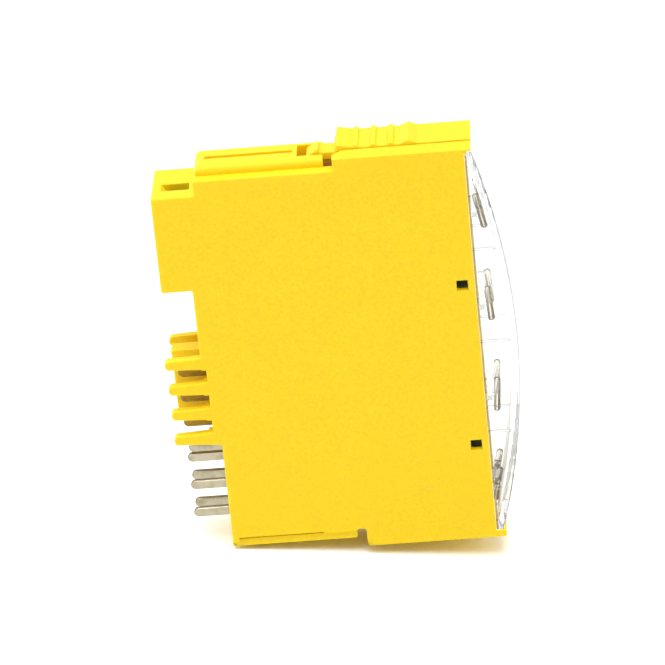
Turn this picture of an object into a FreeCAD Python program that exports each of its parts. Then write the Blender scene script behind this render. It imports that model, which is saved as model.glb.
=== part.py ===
"""Slim safe input module that plugs into a rail-mounted terminal base.

Two moulded housing halves close round one circuit board. Contact blades leave through an insulating
carrier at the rear, a bus connector sits in the nose above them, a clear bowed cover with a label strip
and light guides closes the front, and a ribbed release lever rocks in the top.

Millimetres. X runs from the plug side to the clear cover, Y across the module, Z up.
The origin is the bottom centre of the whole module.
"""

import FreeCAD
import Part
import math
import os

V = FreeCAD.Vector
ALONG_Y = V(0, 1, 0)
LEFT = -1
RIGHT = 1

# Overall size: rib tips to cover, side to side, foot to the top of the lever
DEPTH = 61.4
WIDTH = 12.6
HEIGHT = 76.0

# Housing walls
WALL = 1.4
EDGE_ROUND = 0.3
SEAM_BEVEL = 0.12
CORNER_ROUND = 0.4
FIT = 0.1
OVERCUT = 1.0

# Rear of the side outline
RIB_REACH = 0.9
NOSE_DEPTH = 5.4
NOSE_HEIGHT = 17.8
HEEL_STEP = 2.1

# Ribs of the side walls that fence the upper blades, counted from the bottom
RIB_COUNT = 4
RIB_LOW = 23.2
RIB_PITCH = 4.85
RIB_THICK = 2.6
RIB_TIP = 1.7
RIB_ROUND = 0.8
RIB_WIDTH = 1.6
RIB_BITE = 0.8
TOP_RIB_EXTRA = 0.2
RIGHT_KEY_DROP = 0.45

# Top of the side outline, measured down from the lever
PAD_PROUD = 0.85
BROW_DROP = 0.8
BROW_RUN = 1.9
CROWN_RUN = 1.7
CROWN_SETBACK = 0.3
RIGHT_CROWN_SETBACK = 2.2
DECK_DROP = 2.9
SHOULDER_DROP = 2.75
LINTEL = 1.25
BROW_REACH = 1.2

# Bottom of the side outline
KEEL_RISE = 1.75
NOTCH_WIDTH = 1.65
NOTCH_HEIGHT = 1.7
SILL = 1.4
CHIN_REACH = 1.75
REBATE_DEPTH = 0.35
REBATE_HEIGHT = 1.45
REBATE_INSET = 1.2
GROOVE_DEPTH = 1.0
GROOVE_HEIGHT = 0.28
GROOVE_FRONT_INSET = 5.9

# Guide rail on the deck
RAIL_LENGTH = 22.0
RAIL_WIDTH = 8.2
RAIL_RISE = 1.55
RAIL_ROUND = 1.2
RAIL_REAR_INSET = 0.4
RAIL_SLOT_WIDTH = 1.0
RAIL_SLOT_REAR_INSET = 1.5
RAIL_SLOT_FRONT_INSET = 5.3
TAIL_SLOT_LENGTH = 4.15
TAIL_SLOT_WIDTH = 4.6
TAIL_SLOT_DEPTH = 1.5
STEP_SLOT_DEPTH = 0.7
POCKET_WALL = 0.8

# Openings in the housing; the catch holes are placed from the middle of the cover
CODE_LENGTH = 4.9
CODE_INSET = 1.6
CODE_WIDTH = 2.8
CODE_OFFSET = 0.3
CODE_RAMP = 1.1
CATCH_SIZE = 2.0
CATCH_INSET = 1.2
CATCH_BELOW = 19.25
CATCH_ABOVE = 11.45

# Posts that clamp the board
POST_RADIUS = 2.2
PEG_RADIUS = 1.1
PEG_CLEARANCE = 0.05
PEG_LENGTH = 2.0
POST_INSET = 4.2

# Release lever
LEVER_WIDTH = 8.2
LEVER_SIDE_GAP = 0.2
LEVER_END_GAP = 0.3
LEVER_PLATE = 0.55
LEDGE_GAP = 0.3
PAD_SETBACK = 0.5
PAD_TRAVEL = 1.35
PAD_SLANT = 0.75
LIP_RUN = 3.2
PAD_DIP = 0.65
GRIP_COUNT = 3
GRIP_PITCH = 3.0
GRIP_WIDTH = 1.3
GRIP_HEIGHT = 0.4
BUMP_RUN = 1.5
HUB_INSET = 3.0
HUB_HALF = 1.5
PIVOT_RADIUS = 0.9
PIVOT_HEIGHT = 1.3
PIVOT_CLEARANCE = 0.05
TRUNNION_LENGTH = 1.1
TAIL_WIDTH = 4.0
TAIL_LENGTH = 4.7
TAIL_THICK = 1.2
TAIL_RISE = 0.5
CATCH_NOSE_LENGTH = 2.2
CATCH_NOSE_RISE = 0.75

# Clear front cover
COVER_BULGE = 6.6
COVER_LIP = 1.35
COVER_WALL = 1.2
COVER_ROUND = 0.5
SEGMENTS = 4
SEGMENT_END = 1.15
DIVIDER_THICK = 0.4
TONGUE_LENGTH = 4.0
TONGUE_THICK = 0.8
TONGUE_WIDTH = 3.2
TONGUE_ROOT = 1.6
HOOK_RISE = 0.35
LABEL_THICK = 0.25
LABEL_PLAY = 0.15
LABEL_INSET = 1.6
WINDOW_MARGIN = 0.3

# Light guides and lamps
GUIDE_DROP = 2.2
LENS_HEIGHT = 6.6
LENS_RADIUS = 0.6
LENS_SPACING = 7.0
LENS_SETOUT = 2.1
GUIDE_BAR = 1.0
GUIDE_FOOT_WIDTH = 4.2
LAMP_LENGTH = 1.2
LAMP_HEIGHT = 1.6
LAMP_PROUD = 0.9
LAMP_GAP = 0.3

# Contact blades: columns on both sides of the board, rows counted from the bottom. The lower rows are evenly
# spaced, and the upper ones stand a little low in the gaps of the ribs
LOWER_ROWS = 3
BLADE_LOW = 7.0
BLADE_PITCH = 5.42
BLADE_DROP = 0.85
BLADE_HEIGHT = 1.7
BLADE_THICK = 0.8
BLADE_SPACING = 3.8
BLADE_REACH = 6.6
BLADE_TAIL = 2.4
BLADE_FOOT = 1.0
BLADE_EDGE = 0.15

# Insulating carrier with the web between the two columns and the hood above them
CARRIER_WIDTH = 8.0
CARRIER_LOW = 4.2
FLANGE_THICK = 1.1
FLANGE_OVERHANG = 0.6
WEB_THICK = 1.2
WEB_LOW = 25.6
HOOD_WIDTH = 3.1
HOOD_THICK = 1.1
HOOD_RISE = 4.0

# Circuit board and bus connector
BOARD_THICK = 1.6
BOARD_CLEARANCE = 0.4
BOARD_SETBACK = 1.2
BUS_WIDTH = 6.8
BUS_RECESS = 0.6
BUS_LENGTH = 6.2
BUS_SLOT_WIDTH = 2.0
BUS_SLOT_DEPTH = 3.2
BUS_SLOT_END = 2.0
BUS_GRIP = 2.0
BUS_ROWS = 6
BUS_CONTACT_WIDTH = 0.9
BUS_CONTACT_THICK = 0.3
BUS_CONTACT_LENGTH = 2.8

# Places worked out along X
x_tip = -DEPTH / 2
x_seat = x_tip + RIB_REACH
x_upper = x_seat + NOSE_DEPTH
x_lower = x_upper + HEEL_STEP
x_step = x_lower + RAIL_LENGTH
x_foot = x_step + NOTCH_WIDTH
x_rail_end = x_step + CROWN_SETBACK
x_bow = DEPTH / 2
x_front = x_bow - COVER_BULGE
x_brow = x_front + BROW_REACH
x_chin = x_front + CHIN_REACH
x_catch = x_front - CATCH_INSET - CATCH_SIZE / 2
x_carrier = x_lower + WALL + FIT + FLANGE_THICK
x_blade_end = x_carrier + BLADE_TAIL
x_board = x_front - BOARD_SETBACK
x_pad = x_foot + PAD_SETBACK
x_tail_root = x_pad + PAD_SLANT + TAIL_THICK
x_lever_end = x_front - WALL - LEVER_END_GAP
x_pivot = x_lever_end - HUB_INSET
x_tail_slot = x_step - TAIL_SLOT_LENGTH
x_lens = x_front + LENS_SETOUT

# Places worked out along Y
y_side = WIDTH / 2
y_inside = y_side - WALL
y_board = BOARD_THICK / 2
y_blade = BLADE_SPACING / 2

# Places worked out along Z
z_crown = HEIGHT - PAD_PROUD
z_brow = z_crown - BROW_DROP
z_deck = z_crown - DECK_DROP
z_rail = z_deck + RAIL_RISE
z_shoulder = z_deck - SHOULDER_DROP
z_nose = z_shoulder - NOSE_HEIGHT
z_lintel = z_crown - LINTEL
z_notch = KEEL_RISE + NOTCH_HEIGHT
z_cover_low = SILL + FIT
z_cover_high = z_lintel - FIT
z_middle = (z_cover_low + z_cover_high) / 2
z_catch_low = z_middle - CATCH_BELOW
z_catch_high = z_middle + CATCH_ABOVE
z_pivot = z_deck + PIVOT_HEIGHT
z_dip = HEIGHT - PAD_DIP
z_pad_low = z_deck + PAD_TRAVEL + FIT
z_plate = z_dip - LEVER_PLATE
z_pocket = z_deck - TAIL_SLOT_DEPTH

# The cover's bow: an arc over its whole height, and depths measured inwards from it
cover_end = x_front + COVER_LIP
cover_inside = y_side - COVER_WALL
bow_sagitta = x_bow - cover_end
bow_half = (z_cover_high - z_cover_low) / 2
segment_pitch = 2 * (bow_half - SEGMENT_END) / SEGMENTS
bow_radius = (bow_half**2 + bow_sagitta**2) / (2 * bow_sagitta)
label_depth = COVER_WALL + LABEL_PLAY
divider_depth = label_depth + LABEL_THICK + LABEL_PLAY

# The bus connector and the board's tongue that it grips
x_bus = x_seat + BUS_RECESS
x_bus_end = x_bus + BUS_LENGTH
x_tongue = x_bus_end - BUS_GRIP
x_board_rear = x_carrier + BOARD_CLEARANCE
z_tongue_low = z_nose + WALL + BOARD_CLEARANCE
z_tongue_high = z_shoulder - WALL - BOARD_CLEARANCE


def rib_height(side, index):
    """Height of a rib's middle above the foot; the top one on the right is set lower as a key."""
    if side == RIGHT and index == RIB_COUNT - 1:
        return RIB_LOW + index * RIB_PITCH - RIGHT_KEY_DROP
    return RIB_LOW + index * RIB_PITCH


def blade_height(row):
    """Height of a blade's middle above the foot."""
    if row < LOWER_ROWS:
        return BLADE_LOW + row * BLADE_PITCH
    return rib_height(LEFT, row - LOWER_ROWS) + RIB_PITCH / 2 - BLADE_DROP


blade_rows = LOWER_ROWS + RIB_COUNT - 1
z_heel = RIB_LOW - RIB_THICK / 2
z_hood = blade_height(blade_rows - 1) + HOOD_RISE


def box(x0, x1, y0, y1, z0, z1):
    """Block between two corners, with the two Y values in either order."""
    low, high = sorted((y0, y1))
    return Part.makeBox(x1 - x0, high - low, z1 - z0, V(x0, low, z0))


def rounded_box(x0, x1, y0, y1, z0, z1):
    """Block whose rear edges are rounded."""
    block = box(x0, x1, y0, y1, z0, z1)
    edges = [edge for edge in block.Edges if edge.BoundBox.XMax < x0 + 1e-6]
    return block.makeFillet(EDGE_ROUND, edges)


def slab(points, y0, y1):
    """Straight-edged XZ outline carried from one Y plane to another."""
    corners = [V(x, y0, z) for x, z in points]
    wire = Part.makePolygon(corners + corners[:1])
    return Part.Face(wire).extrude(V(0, y1 - y0, 0))


def rounded_slab(points, radius, y0, y1):
    """XZ outline with every corner rounded, carried from one Y plane to another."""
    corners = [V(x, y0, z) for x, z in points]
    edges = []
    ends = []
    for index, corner in enumerate(corners):
        to_last = (corners[index - 1] - corner).normalize()
        to_next = (corners[(index + 1) % len(corners)] - corner).normalize()
        half = to_last.getAngle(to_next) / 2
        inward = (to_last + to_next).normalize()
        start = corner + to_last * (radius / math.tan(half))
        end = corner + to_next * (radius / math.tan(half))
        middle = corner + inward * (radius / math.sin(half) - radius)
        ends.append((start, end))
        edges.append(Part.Arc(start, middle, end).toShape())
    for index, (start, end) in enumerate(ends):
        edges.append(Part.LineSegment(ends[index - 1][1], start).toShape())
    wire = Part.Wire(Part.__sortEdges__(edges))
    return Part.Face(wire).extrude(V(0, y1 - y0, 0))


def rod(x, z, radius, y0, y1):
    """Round bar along Y."""
    low, high = sorted((y0, y1))
    return Part.makeCylinder(radius, high - low, V(x, low, z), ALONG_Y)


def inset(points, depth):
    """Square-cornered outline, listed anticlockwise, moved inwards by one wall."""
    moved = []
    for index, (x, z) in enumerate(points):
        last_x, last_z = points[index - 1]
        next_x, next_z = points[(index + 1) % len(points)]
        before = V(x - last_x, 0, z - last_z).normalize()
        after = V(next_x - x, 0, next_z - z).normalize()
        moved.append((x - depth * (before.z + after.z), z + depth * (before.x + after.x)))
    return moved


def edges_at(solid, y_plane):
    """Edges of a solid that lie in one Y plane."""
    return [
        edge
        for edge in solid.Edges
        if all(abs(vertex.Point.y - y_plane) < 1e-6 for vertex in edge.Vertexes)
    ]


def fuse(pieces):
    """One solid from pieces that meet or overlap."""
    return pieces[0].multiFuse(pieces[1:]).removeSplitter()


def cut(solid, tools):
    """Solid with every tool taken away."""
    return solid.cut(tools).removeSplitter()


def crown_start(side):
    """Where the crown of one half begins; the right one begins further forward."""
    if side == RIGHT:
        return x_foot + RIGHT_CROWN_SETBACK
    return x_foot + CROWN_SETBACK


def outer_outline(side):
    """Side outline of one housing half, anticlockwise from the rear of the foot."""
    return [
        (x_foot, 0),
        (x_chin, 0),
        (x_chin, SILL),
        (x_front, SILL),
        (x_front, z_lintel),
        (x_brow, z_lintel),
        (x_brow, z_crown),
        (crown_start(side), z_crown),
        (crown_start(side), z_deck),
        (x_lower, z_deck),
        (x_lower, z_shoulder),
        (x_seat, z_shoulder),
        (x_seat, z_nose),
        (x_upper, z_nose),
        (x_upper, z_heel),
        (x_lower, z_heel),
        (x_lower, KEEL_RISE),
        (x_step, KEEL_RISE),
        (x_step, z_notch),
        (x_foot, z_notch),
    ]


def cavity_outline():
    """The same outline without its lips and crown, one wall further in."""
    return inset(
        [
            (x_foot, 0),
            (x_front, 0),
            (x_front, z_deck),
            (x_lower, z_deck),
            (x_lower, z_shoulder),
            (x_seat, z_shoulder),
            (x_seat, z_nose),
            (x_upper, z_nose),
            (x_upper, z_heel),
            (x_lower, z_heel),
            (x_lower, KEEL_RISE),
            (x_step, KEEL_RISE),
            (x_step, z_notch),
            (x_foot, z_notch),
        ],
        WALL,
    )


def post_places():
    """Where posts clamp the board: two beside the cover and one below the shoulder."""
    return [
        (x_board - POST_INSET, SILL + WALL + 2 * POST_INSET),
        (x_board - POST_INSET, z_deck - WALL - POST_INSET),
        (x_lower + RAIL_LENGTH / 4, z_shoulder - POST_INSET),
    ]


def side_rib(side, index):
    """Rib of one side wall, tapering to a rounded tip; the top one on the left reaches furthest."""
    z = rib_height(side, index)
    longest = side == LEFT and index == RIB_COUNT - 1
    x_end = x_tip if longest else x_tip + TOP_RIB_EXTRA
    profile = [
        (x_end, z - RIB_TIP / 2),
        (x_lower + WALL, z - RIB_THICK / 2),
        (x_lower + WALL, z + RIB_THICK / 2),
        (x_end, z + RIB_TIP / 2),
    ]
    return rounded_slab(profile, RIB_ROUND, side * (y_side - RIB_WIDTH), side * y_side)


def rib_gap(side, index):
    """What is cut out of the rear wall above a rib, up to the next one."""
    low = rib_height(side, index) + RIB_THICK / 2
    high = rib_height(side, index + 1) - RIB_THICK / 2
    inner = side * CARRIER_WIDTH / 2
    outer = side * (y_side + OVERCUT)
    return box(x_upper - OVERCUT, x_upper + RIB_BITE, inner, outer, low, high)


def rail_half(side):
    """Half of the guide rail on the deck, rounded along its outer and rear top edges."""
    x_rear = x_lower + RAIL_REAR_INSET
    half = RAIL_WIDTH / 2
    rail = box(x_rear, x_rail_end, 0, side * half, z_deck - WALL / 2, z_rail)
    top = [edge for edge in rail.Edges if edge.BoundBox.ZMin > z_rail - 1e-6]
    outer = [edge for edge in top if all(abs(abs(vertex.Point.y) - half) < 1e-6 for vertex in edge.Vertexes)]
    rear = [edge for edge in top if edge.BoundBox.XMax < x_rear + 1e-6]
    return rail.makeFillet(RAIL_ROUND, outer + rear)


def brow_wedge(side):
    """What the sloping brow beside the lever takes off the crown."""
    edge = side * (y_side + OVERCUT)
    fall = BROW_DROP / BROW_RUN * OVERCUT
    corners = [
        V(x_foot - OVERCUT, side * (y_side - BROW_RUN), z_crown),
        V(x_foot - OVERCUT, edge, z_brow - fall),
        V(x_foot - OVERCUT, edge, z_crown + OVERCUT),
        V(x_foot - OVERCUT, side * (y_side - BROW_RUN), z_crown + OVERCUT),
    ]
    face = Part.Face(Part.makePolygon(corners + corners[:1]))
    return face.extrude(V(x_brow - x_foot + 2 * OVERCUT, 0, 0))


def crown_slope(side):
    """What the slope at the rear end of the crown takes off it."""
    x0 = crown_start(side)
    profile = [
        (x0 - OVERCUT, z_brow),
        (x0, z_brow),
        (x0 + CROWN_RUN, z_crown),
        (x0 + CROWN_RUN, z_crown + OVERCUT),
        (x0 - OVERCUT, z_crown + OVERCUT),
    ]
    return slab(profile, 0, side * (y_side + OVERCUT))


def tail_pocket(side):
    """Closed pocket below the deck, before the room for the lever's tail is cut out of it."""
    x0 = x_tail_slot - POCKET_WALL
    x1 = x_tail_root + LEVER_END_GAP + POCKET_WALL
    y1 = side * (TAIL_SLOT_WIDTH / 2 + POCKET_WALL)
    return box(x0, x1, 0, y1, z_pocket - POCKET_WALL, z_deck - WALL / 2)


def lever_well(side):
    """Room for the lever, its tail, its trunnion and the gaps round them, in one housing half."""
    well_side = side * (LEVER_WIDTH / 2 + LEVER_SIDE_GAP)
    tail_side = side * TAIL_SLOT_WIDTH / 2
    rail_side = side * RAIL_WIDTH / 2
    above = z_crown + OVERCUT
    bore_end = well_side + side * (TRUNNION_LENGTH + FIT)
    return [
        box(x_foot - OVERCUT, x_lever_end + LEVER_END_GAP, 0, well_side, z_deck, above),
        box(x_lever_end, x_brow + OVERCUT, 0, well_side, z_plate - LEDGE_GAP, above),
        box(x_tail_slot, x_tail_root + LEVER_END_GAP, 0, tail_side, z_pocket, above),
        box(x_rail_end, crown_start(LEFT), 0, rail_side, z_deck - STEP_SLOT_DEPTH, above),
        rod(x_pivot, z_pivot, PIVOT_RADIUS + PIVOT_CLEARANCE, 0, bore_end),
    ]


def code_slot(side):
    """Coding slot through the shoulder, with a ramp at its rear end."""
    x0 = x_seat + CODE_INSET
    x1 = x0 + CODE_LENGTH
    y0 = side * CODE_OFFSET
    below = z_shoulder - WALL
    profile = [
        (x0, z_shoulder),
        (x0 + CODE_RAMP, below),
        (x0 + CODE_RAMP, below - OVERCUT),
        (x1, below - OVERCUT),
        (x1, z_shoulder + OVERCUT),
        (x0, z_shoulder + OVERCUT),
    ]
    return slab(profile, y0, y0 + side * CODE_WIDTH)


def housing_openings(side):
    """Everything that is cut into the wall of one housing half."""
    outside = side * (y_side + OVERCUT)
    half_slot = side * RAIL_SLOT_WIDTH / 2
    half_carrier = side * (CARRIER_WIDTH / 2 + FIT)
    half_bus = side * (BUS_WIDTH / 2 + FIT)
    x_rebate = x_lower + REBATE_INSET
    z_rebate = KEEL_RISE + REBATE_HEIGHT
    cuts = [
        # mouth behind the clear cover
        box(x_front - WALL - OVERCUT, x_front + OVERCUT, 0, side * y_inside, SILL + WALL, z_deck - WALL),
        # slot between the two bars of the guide rail
        box(
            x_lower + RAIL_REAR_INSET + RAIL_SLOT_REAR_INSET,
            x_rail_end - RAIL_SLOT_FRONT_INSET,
            0,
            half_slot,
            z_deck,
            z_rail + OVERCUT,
        ),
        # seat of the clear cover, and openings for the blade carrier and for the bus connector
        box(x_front, x_bow, 0, outside, SILL, z_lintel),
        box(x_upper - OVERCUT, x_lower + WALL + OVERCUT, 0, half_carrier, CARRIER_LOW - FIT, z_hood + FIT),
        box(x_seat - OVERCUT, x_seat + WALL + OVERCUT, 0, half_bus, z_nose + WALL, z_shoulder - WALL),
        # rebate along the bottom edge of the side, and the groove above it
        box(x_rebate, x_step, side * (y_side - REBATE_DEPTH), outside, KEEL_RISE - OVERCUT, z_rebate),
        box(
            x_rebate,
            x_step - GROOVE_FRONT_INSET,
            side * (y_side - GROOVE_DEPTH),
            outside,
            z_rebate - FIT,
            z_rebate + GROOVE_HEIGHT,
        ),
    ]
    for z in (z_catch_low, z_catch_high):
        half = CATCH_SIZE / 2
        cuts.append(box(x_catch - half, x_catch + half, 0, outside, z - half, z + half))
    if side == LEFT:
        cuts.append(code_slot(side))
    return cuts


def housing_half(side):
    """One housing half: the left one has the pegs for the board, the right one their sockets."""
    shell = rounded_slab(outer_outline(side), CORNER_ROUND, 0, side * y_side)
    shell = cut(shell, [rib_gap(side, index) for index in range(RIB_COUNT - 1)])
    shell = fuse([shell] + [side_rib(side, index) for index in range(RIB_COUNT)])
    shell = shell.makeFillet(EDGE_ROUND, edges_at(shell, side * y_side))
    shell = shell.makeChamfer(SEAM_BEVEL, edges_at(shell, 0))
    shell = cut(shell, [slab(cavity_outline(), 0, side * y_inside)])
    shell = fuse([shell, rail_half(side), tail_pocket(side)])
    slopes = [brow_wedge(side), crown_slope(side)]
    shell = cut(shell, slopes + lever_well(side) + housing_openings(side))
    posts = [rod(x, z, POST_RADIUS, side * y_board, side * (y_inside + WALL / 2)) for x, z in post_places()]
    shell = fuse([shell] + posts)
    peg_end = y_board + PEG_LENGTH
    if side == LEFT:
        pegs = [rod(x, z, PEG_RADIUS, -y_board - WALL / 2, peg_end) for x, z in post_places()]
        return fuse([shell] + pegs)
    socket = PEG_RADIUS + PEG_CLEARANCE
    sockets = [rod(x, z, socket, 0, peg_end + FIT) for x, z in post_places()]
    return cut(shell, sockets)


def grip_place(index):
    """Distance along X of a grip ridge's middle."""
    return x_pad + PAD_SLANT + LIP_RUN + index * GRIP_PITCH


def latch_lever():
    """Release lever: ribbed thumb pad, hub with trunnions, plate over the front and tail with a catch."""
    x_bump = grip_place(GRIP_COUNT)
    z_hub = z_deck + 2 * FIT
    profile = [
        (x_pad, z_pad_low),
        (x_pivot - HUB_HALF - PIVOT_RADIUS, z_pad_low),
        (x_pivot - HUB_HALF, z_hub),
        (x_lever_end, z_hub),
        (x_lever_end, z_plate),
        (x_brow, z_plate),
        (x_brow, z_dip),
        (x_bump + BUMP_RUN, z_dip),
        (x_bump, HEIGHT),
        (x_bump - BUMP_RUN, z_dip),
        (x_pad + PAD_SLANT + LIP_RUN, z_dip),
        (x_pad + PAD_SLANT, HEIGHT),
    ]
    half = LEVER_WIDTH / 2
    pieces = [slab(profile, -half, half)]
    for index in range(GRIP_COUNT):
        x = grip_place(index)
        ridge = [
            (x - GRIP_WIDTH / 2, z_dip - FIT),
            (x + GRIP_WIDTH / 2, z_dip - FIT),
            (x + GRIP_WIDTH / 4, z_dip + GRIP_HEIGHT),
            (x - GRIP_WIDTH / 4, z_dip + GRIP_HEIGHT),
        ]
        pieces.append(slab(ridge, -half, half))
    reach = half + TRUNNION_LENGTH
    pieces.append(rod(x_pivot, z_pivot, PIVOT_RADIUS, -reach, reach))
    x_tail = x_pad - TAIL_LENGTH
    z_tail = z_deck + TAIL_RISE
    tail = [
        (x_tail, z_tail),
        (x_pad + PAD_SLANT, z_tail),
        (x_tail_root, z_pad_low + TAIL_THICK),
        (x_pad, z_tail + TAIL_THICK),
        (x_tail + CATCH_NOSE_LENGTH, z_tail + TAIL_THICK),
        (x_tail + CATCH_NOSE_LENGTH, z_tail + TAIL_THICK + CATCH_NOSE_RISE),
        (x_tail, z_tail + TAIL_THICK / 2),
    ]
    pieces.append(slab(tail, -TAIL_WIDTH / 2, TAIL_WIDTH / 2))
    return fuse(pieces)


def bow_region(depth, end_inset, x_rear, half_width):
    """Everything behind the cover's bowed face, a given depth inside it."""
    radius = bow_radius - depth
    half = bow_half - end_inset
    x_end = x_bow - bow_radius + math.sqrt(radius**2 - half**2)
    low = z_middle - half
    high = z_middle + half
    bottom = V(x_end, -half_width, low)
    top = V(x_end, -half_width, high)
    edges = [
        Part.LineSegment(V(x_rear, -half_width, low), bottom).toShape(),
        Part.Arc(bottom, V(x_bow - depth, -half_width, z_middle), top).toShape(),
        Part.LineSegment(top, V(x_rear, -half_width, high)).toShape(),
        Part.LineSegment(V(x_rear, -half_width, high), V(x_rear, -half_width, low)).toShape(),
    ]
    return Part.Face(Part.Wire(edges)).extrude(V(0, 2 * half_width, 0))


def snap_tongue(side, z):
    """Tongue of the cover that reaches into the housing and hooks into a catch hole."""
    half = TONGUE_WIDTH / 2
    outer = y_inside - FIT
    inner = outer - TONGUE_THICK
    root = box(x_front, x_front + TONGUE_ROOT, side * inner, side * (cover_inside + FIT), z - half, z + half)
    tongue = box(x_front - TONGUE_LENGTH, x_front + FIT, side * inner, side * outer, z - half, z + half)
    hook_half = CATCH_SIZE / 2 - FIT
    tip = y_inside + HOOK_RISE
    hook = [
        V(x_catch - hook_half, side * (outer - FIT), z - hook_half),
        V(x_catch + hook_half, side * (outer - FIT), z - hook_half),
        V(x_catch + hook_half, side * tip, z - hook_half),
        V(x_catch - hook_half + HOOK_RISE, side * tip, z - hook_half),
    ]
    face = Part.Face(Part.makePolygon(hook + hook[:1]))
    return [root, tongue, face.extrude(V(0, 0, 2 * hook_half))]


def front_cover():
    """Clear bowed cover: thin walls open to the rear, three dividers and four snap tongues."""
    shell = bow_region(0, 0, x_front, y_side)
    bowed = [edge for edge in shell.Edges if edge.BoundBox.XMax > cover_end + bow_sagitta / 2]
    shell = shell.makeFillet(COVER_ROUND, bowed)
    room = bow_region(COVER_WALL, COVER_WALL, x_front - OVERCUT, cover_inside)
    shell = cut(shell, [room])
    fence = bow_region(divider_depth, COVER_WALL, x_front + FIT, cover_inside + FIT)
    pieces = [shell]
    for index in range(1, SEGMENTS):
        z = z_middle + (index - SEGMENTS / 2) * segment_pitch
        half = DIVIDER_THICK / 2
        pieces.append(fence.common(box(x_front, x_bow, -y_side, y_side, z - half, z + half)))
    for side in (LEFT, RIGHT):
        for z in (z_catch_low, z_catch_high):
            pieces.extend(snap_tongue(side, z))
    return fuse(pieces)


def label_strip():
    """Blank card that stands behind the bowed face of the cover, with a window before every lens."""
    ends = COVER_WALL + LABEL_INSET
    half_width = cover_inside - LABEL_PLAY
    front = bow_region(label_depth, ends, x_front, half_width)
    away = [bow_region(label_depth + LABEL_THICK, COVER_WALL, x_front - OVERCUT, half_width + OVERCUT)]
    wide = LENS_RADIUS + WINDOW_MARGIN
    tall = LENS_HEIGHT / 2 - LENS_RADIUS
    for side in (LEFT, RIGHT):
        y = side * LENS_SPACING / 2
        for index in range(SEGMENTS):
            z = guide_height(index)
            away.append(box(x_front, x_bow, y - wide, y + wide, z - tall, z + tall))
    return cut(front, away)


def guide_height(index):
    """Height of a light guide's middle, one in each segment of the cover."""
    return z_middle + (index - (SEGMENTS - 1) / 2) * segment_pitch - GUIDE_DROP


def lens_rod(y, z):
    """Rod lens with round ends that leans with the bow, and the neck that joins it to the guide's bar."""
    rise = z - z_middle
    reach = bow_radius - divider_depth - FIT - LENS_RADIUS
    x = min(x_lens, x_bow - bow_radius + math.sqrt(reach**2 - rise**2))
    lean = math.asin(rise / bow_radius)
    half_core = V(-math.sin(lean), 0, math.cos(lean)) * (LENS_HEIGHT / 2 - LENS_RADIUS)
    low = V(x, y, z) - half_core
    high = V(x, y, z) + half_core
    bar = Part.makeCylinder(LENS_RADIUS, 2 * half_core.Length, low, half_core)
    ends = [Part.makeSphere(LENS_RADIUS, end) for end in (low, high)]
    half_neck = LENS_RADIUS / 2
    neck = box(x_front + LAMP_GAP, x, y - half_neck, y + half_neck, z - half_neck, z + half_neck)
    return [bar, neck] + ends


def light_guide(index):
    """Clear guide from the lamps at the board's edge to two rod lenses, held between the cover's sides."""
    z = guide_height(index)
    half_bar = GUIDE_BAR / 2
    x_bar = x_front + LAMP_GAP
    half_foot = GUIDE_FOOT_WIDTH / 2
    cross = cover_inside - FIT
    pieces = [
        box(x_bar, x_bar + GUIDE_BAR, -cross, cross, z - half_bar, z + half_bar),
        box(x_board + LAMP_GAP, x_bar + GUIDE_BAR, -half_foot, half_foot, z - half_bar, z + half_bar),
    ]
    for side in (LEFT, RIGHT):
        pieces.extend(lens_rod(side * LENS_SPACING / 2, z))
    return fuse(pieces)


def status_lamp(side, index):
    """Lamp soldered at the front edge of the board, behind its light guide."""
    z = guide_height(index)
    half = LAMP_HEIGHT / 2
    top = side * (y_board + LAMP_PROUD)
    return box(x_board - LAMP_LENGTH, x_board, side * y_board, top, z - half, z + half)


def contact_blade(side, row):
    """Flat blade with a rounded tip, whose foot stands on the board inside."""
    z = blade_height(row)
    half = BLADE_HEIGHT / 2
    x_end = x_lower - BLADE_REACH
    inner = side * (y_blade - BLADE_THICK / 2)
    outer = side * (y_blade + BLADE_THICK / 2)
    tip = rod(x_end + half, z, half, inner, outer)
    bar = box(x_end + half, x_blade_end, inner, outer, z - half, z + half)
    blade = fuse([tip, bar])
    edges = [
        edge
        for edge in blade.Edges
        if edge.BoundBox.XMax < x_lower and edge.BoundBox.YLength < BLADE_THICK / 2
    ]
    if edges:
        blade = blade.makeChamfer(BLADE_EDGE, edges)
    foot = box(x_blade_end - BLADE_FOOT, x_blade_end, side * y_board, outer, z - half, z + half)
    return fuse([blade, foot])


def blade_places():
    """Side and row of every blade, by name."""
    places = {}
    for row in range(blade_rows):
        places[f"left_blade_{row + 1}"] = (LEFT, row)
        places[f"right_blade_{row + 1}"] = (RIGHT, row)
    return places


def contact_carrier():
    """Moulded carrier that closes the rear opening, holds the blades and parts the two upper columns."""
    half = CARRIER_WIDTH / 2
    flange = half + FLANGE_OVERHANG
    web = WEB_THICK / 2
    hood = HOOD_WIDTH / 2
    x_flange = x_lower + WALL + FIT
    pieces = [
        box(x_lower, x_carrier, -half, half, CARRIER_LOW, z_hood),
        box(x_flange, x_carrier, -flange, flange, CARRIER_LOW, z_hood),
        rounded_box(x_seat, x_carrier, -web, web, WEB_LOW, z_hood),
        rounded_box(x_seat, x_carrier, -hood, hood, z_hood - HOOD_THICK, z_hood),
    ]
    carrier = fuse(pieces)
    blades = []
    for side, row in blade_places().values():
        z = blade_height(row)
        inner = side * (y_blade - BLADE_THICK / 2)
        outer = side * (y_blade + BLADE_THICK / 2)
        tall = BLADE_HEIGHT / 2
        blades.append(box(x_lower - BLADE_REACH, x_blade_end, inner, outer, z - tall, z + tall))
    return cut(carrier, blades)


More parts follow.
